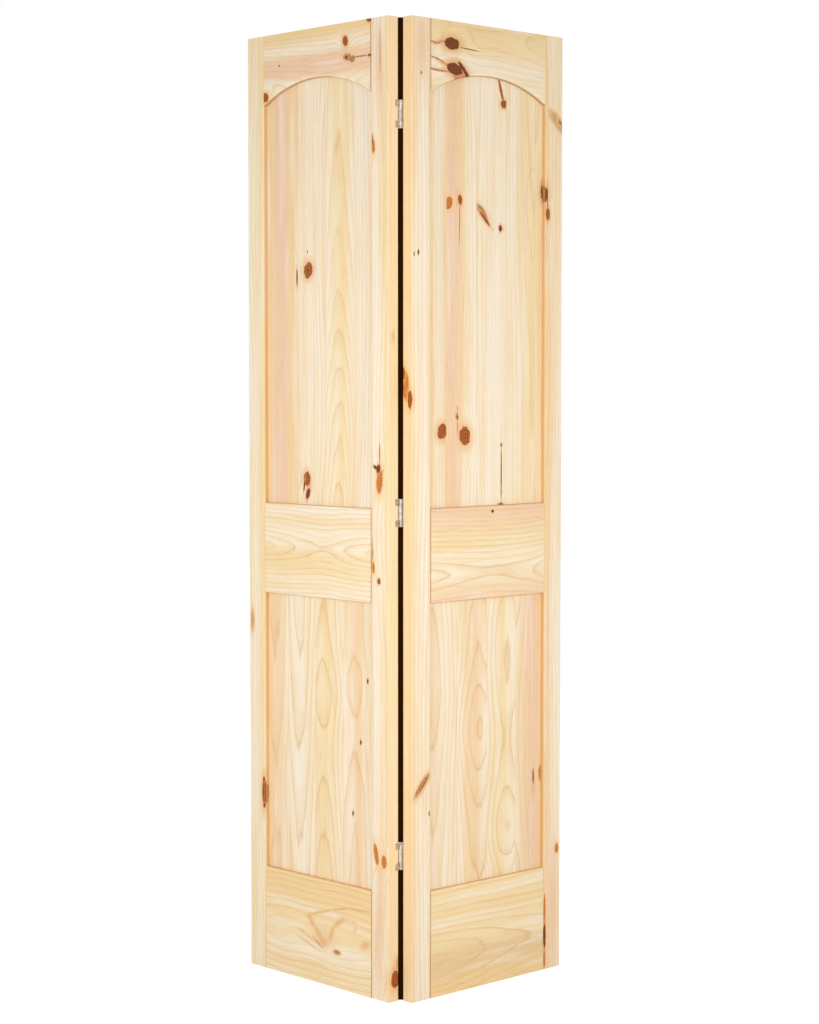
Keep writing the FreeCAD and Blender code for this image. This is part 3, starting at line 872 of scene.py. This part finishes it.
@dataclass
class Hinges:
    """Three surface hinges with rolled knuckles, loose pins and countersunk screws.

    Attributes:
        middles: Heights of the hinges' middles, in mm.
        pitch: Between the two screws of a plate, in mm.
        inset: From the leaf's hinged edge to the screws, in mm.
        plate: Thickness of a plate, in mm.
        head: Radius of a screw's head, in mm.
        head_depth: Depth of a screw's head, in mm.
        rim: Height of the head's straight rim, in mm.
        core: Radius of a screw's core, in mm.
        tip: Length of its tip, in core radii.
        crest: Radius of its thread's crest, in mm.
        thread: Pitch of its thread, in mm.
        bare: Length of the core past the thread, in mm.
        length: Length of a screw, in mm.
        cross: Half span, half width and depth of the driver's cross, in mm.
        turns: Turns in which the screws came to rest, in degrees.
        frame: Where the leaves stand.
    """

    middles: tuple[float, ...] = (300.0, 1006.0, 1813.0)
    pitch: float = 30.0
    inset: float = 18.0
    plate: float = 1.3
    head: float = 3.1
    head_depth: float = 1.2
    rim: float = 0.12
    core: float = 1.4
    tip: float = 1.6
    crest: float = 1.88
    thread: float = 1.5
    bare: float = 4.0
    length: float = 19.0
    cross: Triple = (1.75, 0.42, 1.5)
    turns: tuple[float, ...] = (12.0, 71.0, 38.0, 84.0, 5.0, 52.0)
    frame: LeafFrame = LeafFrame()

    def dress(self, nodes: dict[str, Item]) -> None:
        """Give the plates and pins their finish.

        Args:
            nodes: The CAD nodes by name.
        """
        plate = SteelFinish("zinc_plate").material()
        # The middle hinge's plates get a darker, rougher copy of the zinc; the darkness is painted
        # shade.
        painted_shade_zinc = SteelFinish("zinc_worn", (180, 172, 166), (150, 142, 138), (0.42, 0.56)).material()
        pin = SteelFinish("zinc_pin", (196, 186, 174), (160, 150, 138), (0.24, 0.36)).material()
        for name, node in nodes.items():
            if name.endswith(("_plate", "_pin")):
                # Painted shade: the darker zinc copy goes on the middle hinge's plates.
                finish = painted_shade_zinc if name.startswith("mid_") else plate
                if name.endswith("_pin"):
                    finish = pin
                node.data.materials.clear()
                node.data.materials.append(finish)
                LOG.info("%s: %s", name, finish.name)

    def build(self) -> None:
        """Drive the screws: one is modelled, and each leaf gets a set of copies."""
        finish = SteelFinish("zinc_screw", (230, 222, 208), (200, 190, 176)).material()
        pattern = self._screw()
        pattern.data.materials.append(finish)
        for side, body, node in ((Side.LEFT, "jamb_leaf", "left_hinge_screws"),
                                 (Side.RIGHT, "lead_leaf", "right_hinge_screws")):
            screws = self._set(pattern, side)
            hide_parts(node)
            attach(screws, body)
            LOG.info("%s: %d screws", screws.name, len(self.turns))
        bpy.data.objects.remove(pattern)

    def _screw(self) -> Item:
        """Model one screw with its head's face at the origin, pointing down.

        Returns:
            The screw.
        """
        deselect()
        bpy.ops.mesh.primitive_circle_add(vertices=48, radius=self.head * MM, fill_type="NGON")
        screw = bpy.context.object
        edit("VERT", "SELECT")
        tip = self.core * self.tip
        for drop, ratio in ((self.rim, 1.0), (self.head_depth - self.rim, self.core / self.head),
                            (self.length - self.head_depth - tip, 1.0), (tip * 0.8, 0.4),
                            (tip * 0.2, 0.2)):
            bpy.ops.mesh.extrude_region_move(
                TRANSFORM_OT_translate={"value": (0, 0, -drop * MM)})
            bpy.ops.transform.resize(value=(ratio, ratio, 1.0))
        close_up()
        for turn in (0.0, 90.0):
            self._recess(screw, turn)
        pick(screw, self._thread())
        bpy.ops.object.join()
        bpy.ops.object.shade_smooth_by_angle(angle=math.radians(35))
        return screw

    def _recess(self, screw: Item, turn: float) -> None:
        """Cut one wing of the driver's cross into a screw's head.

        Args:
            screw: The screw.
            turn: Turn of the wing, in degrees.
        """
        span, half, depth = (c * MM for c in self.cross)
        deselect()
        bpy.ops.mesh.primitive_cube_add(size=1.0)
        wing = bpy.context.object
        wing.data.transform(Matrix.Rotation(math.radians(turn), 4, "Z")
                            @ Matrix.Diagonal((span * 2, half * 2, depth * 2, 1)))
        edit("FACE", "DESELECT")
        bpy.ops.object.mode_set(mode="OBJECT")
        for face in wing.data.polygons:
            face.select = face.normal.z < -0.5
        bpy.ops.object.mode_set(mode="EDIT")
        bpy.ops.transform.resize(value=(0.3, 0.3, 1.0))
        bpy.ops.object.mode_set(mode="OBJECT")
        cut = screw.modifiers.new("recess", "BOOLEAN")
        cut.operation = "DIFFERENCE"
        cut.object = wing
        pick(screw)
        bpy.ops.object.modifier_apply(modifier=cut.name)
        bpy.data.objects.remove(wing)

    def _thread(self) -> Item:
        """Wind the thread round the core, as one closed ridge.

        Returns:
            The thread.
        """
        deselect()
        bpy.ops.mesh.primitive_circle_add(vertices=3, radius=MM, fill_type="NOTHING")
        thread = bpy.context.object
        foot = self.core - 0.2
        start = -self.head_depth - self.thread / 2
        outline = ((foot, start + 0.5), (foot, start - 0.5), (self.crest, start))
        for vertex, (reach, height) in zip(thread.data.vertices, outline):
            vertex.co = (reach * MM, 0, height * MM)
        wind = thread.modifiers.new("wind", "SCREW")
        wind.axis = "Z"
        wind.screw_offset = -self.thread * MM
        wind.iterations = int((self.length - self.head_depth - self.bare) / self.thread)
        wind.steps = wind.render_steps = 20
        wind.use_merge_vertices = False
        bpy.ops.object.modifier_apply(modifier=wind.name)
        edit("EDGE", "DESELECT")
        bpy.ops.mesh.select_non_manifold()
        bpy.ops.mesh.fill_holes(sides=3)
        close_up()
        return thread

    def _set(self, pattern: Item, side: Side) -> Item:
        """Copy a screw to every screw hole of a leaf.

        Args:
            pattern: The screw.
            side: The leaf.

        Returns:
            The leaf's screws as one object.
        """
        heights = [middle + step for middle in self.middles
                   for step in (-self.pitch / 2, self.pitch / 2)]
        driven = Matrix.Rotation(math.radians(-90), 4, "X")
        copies = []
        for height, turn in zip(heights, self.turns):
            copy = place_new("screw", pattern.data.copy())
            hole = Vector((self.inset, self.frame.thick + self.plate, height))
            room = Matrix.Scale(MM, 4) @ self.frame.to_room(side) @ Matrix.Translation(hole)
            turned = Matrix.Rotation(math.radians(turn), 4, "Z")
            copy.data.transform(room @ side.mirror @ driven @ turned @ Matrix.Scale(1000, 4))
            copies.append(copy)
        pick(*copies)
        bpy.ops.object.join()
        screws = bpy.context.object
        screws.name = screws.data.name = f"{side.word}_wood_screws"
        return screws


@dataclass
class GapBacking:
    """Dark strips behind the joint between the leaves, painted shade for the dark gap.

    Wide strips hang between the hinges, and a narrow one right of each middle knuckle, painted
    shade for the slot there.

    Attributes:
        middles: Heights of the hinges' middles, in mm.
        ends: Lowest and highest place of the wide strips, in mm.
        hinge: From a hinge's middle to the wide strips, in mm.
        knuckle: Half the height of a narrow strip, in mm.
        wide: Left and right side of a wide strip, in mm.
        narrow: Left and right side of a narrow strip, in mm.
        y: Depth of a strip's middle in the room, in mm.
        tone: Colour of the strips, the painted shade.
    """

    middles: tuple[float, ...] = Hinges.middles
    ends: Pair = (0.5, 2006.5)
    hinge: float = 28.2
    knuckle: float = 15.0
    wide: Pair = (-7.5, 7.5)
    narrow: Pair = (2.75, 7.5)
    y: float = -147.0
    tone: Rgb = (44, 20, 4)

    def build(self) -> None:
        """Hang the strips of painted shade."""
        material, desk = blank("backdrop_dark")
        shader = desk.node("BsdfPrincipled", {
            "Base Color": linear(self.tone), "Roughness": 1.0, "Specular IOR Level": 0.0})
        desk.node("OutputMaterial", {"Surface": shader.outputs["BSDF"]})
        stops = [self.ends[0], *(middle + step for middle in self.middles
                                 for step in (-self.hinge, self.hinge)), self.ends[1]]
        strips = [(self.wide, span) for span in zip(stops[::2], stops[1::2])]
        strips += [(self.narrow, (middle - self.knuckle, middle + self.knuckle))
                   for middle in self.middles]
        for number, ((left, right), (low, high)) in enumerate(strips):
            deselect()
            bpy.ops.mesh.primitive_cube_add(size=1.0)
            strip = bpy.context.object
            strip.name = f"gap_backdrop_{number}"
            place = Vector(((left + right) / 2, self.y, (low + high) / 2)) * MM
            size = Matrix.Diagonal(((right - left) * MM, 1.0 * MM, (high - low) * MM, 1))
            strip.data.transform(Matrix.Translation(place) @ size)
            strip.data.materials.append(material)
            LOG.info("%s: staged", strip.name)


@dataclass
class Studio:
    """Pale floor, white surroundings, soft lamps and the camera.

    Attributes:
        fill: Strength of the light from all round.
        glow: Strength of the floor's own white, for the eye alone.
        paper: Linear colour of the floor.
        eye: Place of the camera, in mm.
        yaw: Turn of the camera to the right, in degrees.
        pitch: Tilt of the camera, in degrees.
        lens: Focal length, in mm.
        aim: Place that the lamps face, in metres.
        lamps: Place and size in metres and power in watts of each lamp.
    """

    fill: float = 0.5
    glow: float = 0.68
    paper: float = 0.7
    eye: Triple = (150.7, -4964.3, 1276.1)
    yaw: float = -1.578
    pitch: float = -3.185
    lens: float = 83.23
    aim: Triple = (0.0, 0.0, 1.05)
    lamps: tuple[tuple[str, Triple, Pair, float], ...] = (
        ("lamp_left", (-1.35, -1.9, 1.15), (0.8, 1.2), 24.5),
        ("lamp_right", (1.35, -1.9, 1.15), (0.8, 1.2), 24.5),
        ("lamp_back", (0.0, 4.0, 2.4), (3.0, 1.8), 54.0))

    def build(self) -> None:
        """Make the whole studio."""
        self._camera()
        self._surroundings()
        self._floor()
        # Painted shade: dark strips behind the joint between the leaves.
        GapBacking().build()
        self._light()

    def _camera(self) -> None:
        """Place the camera."""
        data = bpy.data.cameras.new("camera")
        data.lens = self.lens
        data.sensor_fit = "AUTO"
        data.clip_end = 60.0
        camera = place_new("camera", data)
        camera.location = [c * MM for c in self.eye]
        camera.rotation_euler = (math.radians(90 + self.pitch), 0, math.radians(-self.yaw))
        bpy.context.scene.camera = camera

    def _surroundings(self) -> None:
        """White for the eye, soft and plain as light."""
        world = bpy.data.worlds.new("surroundings")
        bpy.context.scene.world = world
        world.use_nodes = True
        desk = Desk(world.node_tree)
        light, white = (desk.node("Background", {"Color": WHITE, "Strength": strength}).outputs[0]
                        for strength in (self.fill, 1.0))
        mix = desk.node("MixShader", {0: desk.seen(), 1: light, 2: white})
        desk.node("OutputWorld", {"Surface": mix.outputs[0]})

    def _floor(self) -> None:
        """Lay the floor."""
        deselect()
        bpy.ops.mesh.primitive_plane_add(size=24.0, location=(0, 0, -0.0005))
        floor = bpy.context.object
        floor.name = "floor"
        material, desk = blank("floor_paper")
        paper = desk.node("BsdfDiffuse", {"Color": (self.paper, self.paper, self.paper, 1)})
        glow = desk.node("Emission", {
            "Color": WHITE, "Strength": desk.sum("MULTIPLY", desk.seen(), self.glow)})
        total = desk.node("AddShader", {0: paper.outputs[0], 1: glow.outputs[0]})
        desk.node("OutputMaterial", {"Surface": total.outputs[0]})
        floor.data.materials.append(material)
        LOG.info("floor: staged")

    def _light(self) -> None:
        """Hang the soft lamps, facing the door's middle."""
        for name, place, size, watts in self.lamps:
            data = bpy.data.lights.new(name, "AREA")
            data.shape = "RECTANGLE"
            data.size, data.size_y = size
            data.energy = watts
            lamp = place_new(name, data)
            lamp.location = place
            facing = Vector(self.aim) - Vector(place)
            lamp.rotation_euler = facing.to_track_quat("-Z", "Y").to_euler()
            LOG.info("%s: %.1f W", name, watts)


# Lowest and highest place on a leaf, in mm: heights of the panels and of a stile, and the
# distances from the hinged edge of a rail's ends.
UPPER, LOWER = (1006.0, 1912.0), (216.0, 827.0)
FULL = (0.0, 2007.0)
INNER = (54.0, 397.0)


def streak(half: float, *points: Pair) -> list[tuple[float, ...]]:
    """String narrow marks, half as wide as their line, through some distances and heights."""
    return [((start[0] + end[0]) / 2, (start[1] + end[1]) / 2, half,
             math.dist(start, end) * 1.05,
             math.degrees(math.atan2(end[0] - start[0], end[1] - start[1])))
            for start, end in zip(points, points[1:])]


def staves(panel: str, z: Pair, edges: Sequence[float],
           woods: Sequence[Wood]) -> tuple[Board, ...]:
    """Lay a panel's staves side by side, between edges at some distances from the hinge."""
    spans = zip(edges, edges[1:])
    return tuple(Board(f"{panel}_stave_{number}", UPRIGHT, s, z, wood)
                 for number, (s, wood) in enumerate(zip(spans, woods), 1))

LEFT_MEMBERS = (
    Board("hinge_stile", UPRIGHT, (0, 54), FULL, Wood(
        -70, 9, {0: 70, 0.3: 82, 0.55: 64, 0.8: 78, 1: 70},
        {0: STRAW, 0.35: CREAM, 0.7: IVORY, 1: CREAM}, {
            SHADE: [(23.5, 1930, 4.6, 62, 2), (38, 120, 3, 90, -2), (0, 60, 24, 48, 0, 18, 11),
                    (0, 1365, 18, 26, 0, 14, 10)],
            BLUSH: [(26, 1900, 20, 150, 3), (27, 170, 25, 240, -2)],
            GOLD: [(0, 76, 24, 22, 0, 25, 7)],
            CRACK: [(20, 1082, 2, 16, -24), (26, 1126, 1.5, 26), (47.5, 926, 1.2, 32, 3),
                    (51, 912, 1, 22, -5)],
            FADED: [(24, 1938, 1.1, 52, 1)],
            AMBER: [(45, 1750, 5, 15, 4), (26.5, 1070, 9.5, 26, -4), (46, 893, 4.5, 12, 3),
                    (37.5, 302, 6.5, 23, 12), (13.2, 290, 7.5, 14)],
            RED: [(28.6, 866, 5, 6.4), (0, 45.5, 24, 18.5, 0, 19, 11.5)],
            DARK: [(47, 1764, 1.5, 10, 4), (38, 1098, 3.6, 8, 60), (30, 1096, 6, 9, -20)],
        })),
    Board("jamb_stile", UPRIGHT, (397, 451), FULL, Wood(
        60, 8, {0: 40, 0.3: 52, 0.5: 60, 0.62: 48, 0.8: 60, 1: 46},
        {0: HONEY, 0.15: STRAW, 0.5: CREAM, 1: CREAM}, {
            SHADE: [(441, 757, 9, 40)],
            GOLD: [(441, 757, 8, 32)],
            RED: [(402.8, 384, 7.6, 31, 0, 3, 9)],
            DARK: [(404, 413, 3, 5, 0, 3, 9), (403, 355, 3.4, 5, 0, 3, 9),
                   (404.6, 386, 1.4, 35, 0, 0, 4)],
        }, contrast=0.5)),
    Board("top_rail", LEVEL, INNER, (1851, 2007), Wood(
        -60, 8, {0: 60, 0.35: 74, 0.7: 66, 1: 58},
        {0: STRAW, 0.3: CREAM, 0.44: ROSE, 0.6: ROSE, 0.72: CREAM, 1: HONEY}, {
            SHADE: [(116, 1935, 30, 13)],
            PIN: [(345, 1939.5, 2.2, 2.5)],
            FADED: [(124, 1936, 15, 8, -10), (108, 1931, 9, 7, 30), (84, 1934, 30, 1.7)],
            RED: [(131, 1969.5, 8.5, 11, 12), (57, 1933.6, 4.5, 2.8), (58, 2005, 6.5, 5),
                  (393, 1877, 13, 10)],
            DARK: [(128, 1936, 4.5, 3.5, 20)],
        })),
    Board("mid_rail", LEVEL, INNER, (819, 1014), Wood(
        6, 9.5, {0: 15, 0.16: 21, 0.4: 34, 0.6: 30, 0.8: 20, 1: 12},
        {0: CREAM, 0.4: STRAW, 0.6: CREAM, 1: IVORY}, contrast=0.7, wave=4)),
    Board("bottom_rail", LEVEL, INNER, (0, 224), Wood(
        -14, 12, {0: 52, 0.3: 45, 0.6: 51, 0.8: 47, 1: 54},
        {0: STRAW, 0.3: CREAM, 0.5: STRAW, 1: HONEY}, {
            SHADE: [*streak(3.6, (283, 105), (262, 97), (226, 83)),
                    *streak(3.4, (283, 88), (226, 71)), *streak(4, (222, 102), (206, 82)),
                    *streak(4, (190, 104), (200, 84))],
            BLUSH: [(205, 100, 60, 34), *streak(9, (150, 148), (117, 151), (99, 146), (108, 124))],
            RESIN: [(252, 137, 17, 10, -10), (208, 90, 26, 14), (72, 106, 24, 15, 20),
                    *streak(12, (251, 137), (236, 119), (211, 97)),
                    *streak(10, (186, 96), (172, 130), (141, 149)),
                    *streak(5, (256, 141), (177, 164), (125, 175), (60, 179))],
            GOLD: [*streak(3, (234, 92), (214, 80)), (162, 74, 14, 5.5)],
            FADED: [(162, 76, 11.5, 4.6)],
        }, contrast=0.75, wave=4)),
)
LEFT_PANELS = {
    "upper_panel": staves("upper", UPPER, (46, 117, 206, 295, 384, 405), (
        Wood(-60, 8, {0: 40, 0.5: 52, 1: 44}, {0: CREAM, 0.5: IVORY, 1: CREAM}),
        Wood(4, 6.5, {0: 30, 0.16: 40, 0.34: 54, 0.5: 66, 0.68: 74, 1: 82},
            {0: CREAM, 0.45: STRAW, 1: CREAM}),
        Wood(-56, 7, {0: 30, 0.3: 38, 0.6: 30, 1: 37}, {0: CREAM, 0.6: IVORY, 1: CREAM}, {
            PIN: [(264, 1545.6, 1.6, 3)],
            RED: [(261.5, 1507, 14, 17, -14), (267, 1068, 11, 16, 4)],
            DARK: [(264, 1037, 6, 13, -20), (276, 1054, 2.2, 13, -10)],
        }),
        Wood(-75, 5.5, {0: 20, 0.5: 26, 1: 22},
            {0: PEACH, 0.25: HONEY, 0.5: ROSE, 0.8: ROSE, 1: PEACH}, {
                RED: [(298.5, 1493, 2.6, 18)],
            }, contrast=0.4),
        Wood(30, 6, {0: 30, 1: 34}, {0: PEACH, 1: HONEY}, contrast=0.4),
    )),
    "lower_panel": staves("lower", LOWER, (46, 63, 152, 241, 330, 405), (
        Wood(30, 7, {0: 30, 1: 36}, {0: CREAM, 1: IVORY}),
        Wood(8, 10, {0: 44, 0.3: 50, 0.56: 58, 0.7: 52, 0.85: 60, 1: 62},
            {0: CREAM, 0.5: PEACH, 1: IVORY}, {
                PIN: [(74, 656, 3, 6), (96, 526.5, 2.8, 6), (120.5, 375.6, 2.8, 6)],
            }, contrast=0.6),
        Wood(18, 8, {0: 44, 0.28: 56, 0.46: 62, 0.6: 56.5, 0.66: 54, 0.72: 56.5, 0.82: 63, 1: 68},
            {0: CREAM, 0.7: STRAW, 1: CREAM}, contrast=0.85, wave=5),
        Wood(8, 9, {0: 62, 0.3: 55, 0.6: 46, 1: 37},
            {0: CREAM, 0.6: IVORY, 1: CREAM}, contrast=0.75, wave=6),
        Wood(8, 9, {0: 56, 0.35: 60, 0.6: 54, 1: 46},
            {0: CREAM, 0.6: PEACH, 1: HONEY}, contrast=0.6),
    )),
}
RIGHT_MEMBERS = (
    Board("hinge_stile", UPRIGHT, (0, 54), FULL, Wood(
        70, 9, {0: 60, 0.3: 50, 0.6: 66, 1: 56}, {0: HONEY, 0.2: CREAM, 0.6: IVORY, 1: CREAM}, {
            SHADE: [(0, 1262, 14, 40, 0, 17, 13)],
            BLUSH: [(28, 1950, 26, 110)],
            GOLD: [(28, 446, 13, 38, 42, 0, 14)],
            PIN: [(17, 1534.7, 2.6, 5.5), (5, 1531, 1.6, 5)],
            CRACK: [(25, 1895, 2.2, 4), (49, 386, 2.4, 6, 0, 0, 8)],
            FADED: [(27, 446, 6.8, 33, 42, 0, 12)],
            AMBER: [(0, 1264, 10, 30, 0, 19, 9)],
            RED: [(0, 1237, 6, 19, 0, 7, 6.5), (0, 1290, 10, 13, 0, 27, 6),
                  (34, 449, 1.6, 25, 42, 0, 10)],
        })),
    Board("lead_stile", UPRIGHT, (397, 451), FULL, Wood(
        -60, 8, {0: 46, 0.4: 60, 0.7: 50, 1: 60}, {0: HONEY, 0.2: PEACH, 0.5: CREAM, 1: IVORY}, {
            SHADE: [(432, 1830, 17, 32, -48), (402, 1560, 5, 90, 0, 4, 10)],
            BLUSH: [(428, 130, 30, 240)],
            GOLD: [(431, 1831, 15, 36, -52), (445, 1818, 15, 26, -52)],
            CRACK: [*streak(1.8, (441, 1832), (447, 1825), (451, 1812))],
            FADED: [(443, 1826, 4, 8, -52)],
            AMBER: [(439.3, 260, 6, 11), (402, 130, 3, 36, 0, 0, 9), (402, 24, 3, 22, 0, 0, 9)],
            RED: [(405.5, 1630, 6.5, 14, 0, 3, 10)],
            DARK: [(399, 1672, 6, 19, 0, 6, 10), (404.3, 1652, 1, 42, 0, 0.5, 3),
                   (402, 73, 3.5, 28, 0, 0, 9)],
        }, contrast=0.5)),
    Board("top_rail", LEVEL, INNER, (1851, 2007), Wood(
        50, 9, {0: 66, 0.4: 76, 1: 62}, {0: STRAW, 0.4: CREAM, 0.8: STRAW, 1: HONEY}, {
            SHADE: [(78, 1962, 28, 6), (132, 1915, 46, 24, 20), (80, 1922, 28, 5, 15),
                    (76, 1906, 28, 6)],
            CRACK: [(160, 1955, 36, 1.3, 3)],
            FADED: [*streak(1.8, (52, 1961), (70, 1959), (92, 1966)), (138, 1899, 26, 13),
                    *streak(1.5, (54, 1931), (80, 1925), (104, 1914)),
                    *streak(2, (52, 1906), (76, 1904), (102, 1904))],
            DARK: [(113, 1961.5, 22, 12.5), (121, 1911, 23, 12, 8),
                   *streak(4.6, (138, 1921), (150, 1910), (164, 1895))],
        }, drift=0.03, contrast=0.48)),
    Board("mid_rail", LEVEL, INNER, (819, 1014), Wood(
        -44, 10, {0: 21, 0.15: 27, 0.3: 32, 0.7: 33, 0.88: 27, 1: 18},
        {0: PEACH, 0.3: CREAM, 0.6: STRAW, 1: ROSE}, {
            SHADE: [(372, 983, 24, 1.5)],
            PIN: [(236, 1002, 4.2, 4)],
        }, contrast=0.75, wave=5)),
    Board("bottom_rail", LEVEL, INNER, (0, 224), Wood(
        -30, 11, {0: 48, 0.3: 56, 0.6: 66, 1: 76},
        # HONEY and TAN at the foot of this rail make it darker towards the floor; this is painted
        # shade.
        {0: HONEY, 0.3: TAN, 0.5: STRAW, 1: STRAW}, contrast=0.7, drift=0.05)),
)
RIGHT_PANELS = {
    "upper_panel": staves("upper", UPPER, (46, 107, 196, 285, 374, 405), (
        Wood(-50, 8, {0: 40, 0.5: 46, 1: 42},
            {0: STRAW, 0.25: HONEY, 0.4: CREAM, 0.7: CREAM, 1: PEACH}, {
                RED: [(95.5, 1171, 14.5, 17, 20)],
            }, contrast=0.5),
        Wood(62, 7, {0: 24, 0.4: 34, 1: 26},
            {0: PEACH, 0.14: ROSE, 0.28: ROSE, 0.45: PEACH, 0.62: CREAM, 1: IVORY}, {
                CRACK: [(140, 1195, 1.2, 36)],
                FADED: [(145.5, 1598, 1.5, 46, 1), (139, 1201, 5, 8)],
                AMBER: [(113, 1639, 11, 14, 28)],
                RED: [(146.7, 1647, 6, 11, -8), (162, 1161, 16, 20, -12)],
                DARK: [(139.5, 1200, 2, 3.5)],
            }, contrast=0.5),
        Wood(-58, 7, {0: 26, 0.5: 34, 1: 28}, {0: CREAM, 0.5: IVORY, 1: CREAM}, {
            CRACK: [(272, 1078, 2, 66), (272, 1140, 3, 5)],
            FADED: [(213, 1624, 9, 25, -45)],
            RED: [(221, 1612, 3.6, 20, -45), (277, 1853, 9, 9), (269, 1880, 3.4, 26, -17),
                  (271, 1014, 8, 4)],
            DARK: [(268, 1594, 5, 7)],
        }, contrast=0.42),
        Wood(44, 9, {0: 60, 0.4: 56, 0.7: 50, 1: 44}, {0: CREAM, 0.3: CREAM, 1: STRAW}, {
            SHADE: streak(1.7, (374, 1724), (363, 1723), (353, 1701), (348, 1659),
                          (351, 1612), (360, 1565), (367, 1531), (374, 1545)),
        }, contrast=0.42),
        Wood(-20, 8, {0: 50, 0.5: 56, 1: 48}, {0: STRAW, 1: PEACH}, {
            SHADE: [(396, 1680, 16, 40)],
            DARK: [(401, 1676, 8, 20)],
        }, contrast=0.5),
    )),
    "lower_panel": staves("lower", LOWER, (46, 140, 229, 318, 405), (
        Wood(-30, 9, {0: 64, 0.4: 54, 0.7: 44, 1: 52}, {0: PEACH, 0.5: CREAM, 1: CREAM}, {
            BLUSH: [(62, 590, 9, 70, 4)],
        }, contrast=0.6),
        Wood(21, 8, {0: 76, 0.16: 71, 0.33: 64, 0.44: 56.5, 0.54: 51, 0.64: 56.5, 0.74: 64,
             0.94: 71.5, 1: 74},
            {0: CREAM, 0.6: PEACH, 1: CREAM}, contrast=0.8, wave=5),
        Wood(18, 8, {0: 66, 0.04: 64, 0.16: 52, 0.38: 63.5, 0.5: 67, 0.7: 60, 0.8: 59, 0.955: 63.8,
             1: 67},
            {0: CREAM, 0.5: STRAW, 1: CREAM}, contrast=0.8, wave=5),
        Wood(-48, 8, {0: 40, 0.4: 50, 1: 40}, {0: CREAM, 0.3: PEACH, 0.6: ROSE, 1: HONEY}, {
            SHADE: [(374, 410, 12, 60)],
            PIN: [(374, 425, 2.2, 20)],
            AMBER: [(397, 430, 6, 18)],
        }, contrast=0.6),
    )),
}


def main() -> None:
    """Dress the door and light it."""
    logging.basicConfig(level=logging.INFO, format="%(name)s: %(message)s")
    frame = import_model()
    nodes = frame["nodes"]
    Leaf(Side.LEFT, LEFT_MEMBERS, LEFT_PANELS).dress(nodes)
    Leaf(Side.RIGHT, RIGHT_MEMBERS, RIGHT_PANELS).dress(nodes)
    hinges = Hinges()
    hinges.dress(nodes)
    hinges.build()
    Studio().build()
    scene = bpy.context.scene
    scene.view_settings.view_transform = "Standard"


if __name__ == "__main__":
    main()
